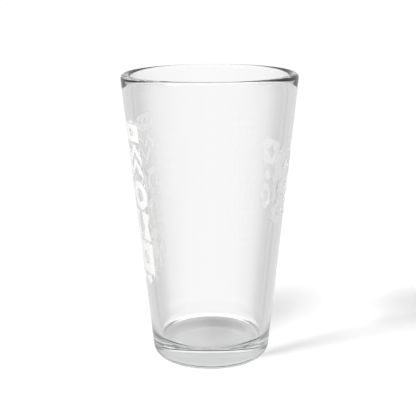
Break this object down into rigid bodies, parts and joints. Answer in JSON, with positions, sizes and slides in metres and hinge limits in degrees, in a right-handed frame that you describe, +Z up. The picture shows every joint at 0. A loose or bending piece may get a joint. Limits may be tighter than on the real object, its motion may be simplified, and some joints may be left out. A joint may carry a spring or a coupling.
{
  "type": "pint glass",
  "caption": "Tapered clear pint glass with a thick base, a rounded lip and white fired enamel decoration on two opposite sides.",
  "frame": {"origin": "centre of the foot, on the surface the glass stands on", "axes": "+Z up the axis of the glass, -X through the middle of the tall motif, +X through the middle of the short wide motif"},
  "size_m": [0.0888, 0.0888, 0.1478],
  "materials": {
    "clear_glass": "clear, smooth, fire-polished soda-lime glass",
    "white_enamel": "white ceramic enamel, screen printed and fired, satin"
  },
  "bodies": {
    "root": {"glass_body": "clear_glass", "print_left_top_banner": "white_enamel", "print_left_zigzag_upper": "white_enamel", "print_left_zigzag_lower": "white_enamel", "print_left_ring_1": "white_enamel", "print_left_ring_2": "white_enamel", "print_left_ring_3": "white_enamel", "print_left_bar_1": "white_enamel", "print_left_bar_2": "white_enamel", "print_left_bar_3": "white_enamel", "print_left_bar_4": "white_enamel", "print_left_bar_5": "white_enamel", "print_left_lower_banner": "white_enamel", "print_left_diamond_1": "white_enamel", "print_left_diamond_2": "white_enamel", "print_left_diamond_3": "white_enamel", "print_left_diamond_4": "white_enamel", "print_left_diamond_5": "white_enamel", "print_right_banner": "white_enamel", "print_right_diamond_1": "white_enamel", "print_right_diamond_2": "white_enamel", "print_right_diamond_3": "white_enamel", "print_right_diamond_4": "white_enamel", "print_right_ring_1": "white_enamel", "print_right_ring_2": "white_enamel", "print_right_ring_3": "white_enamel"}
  },
  "joints": []
}
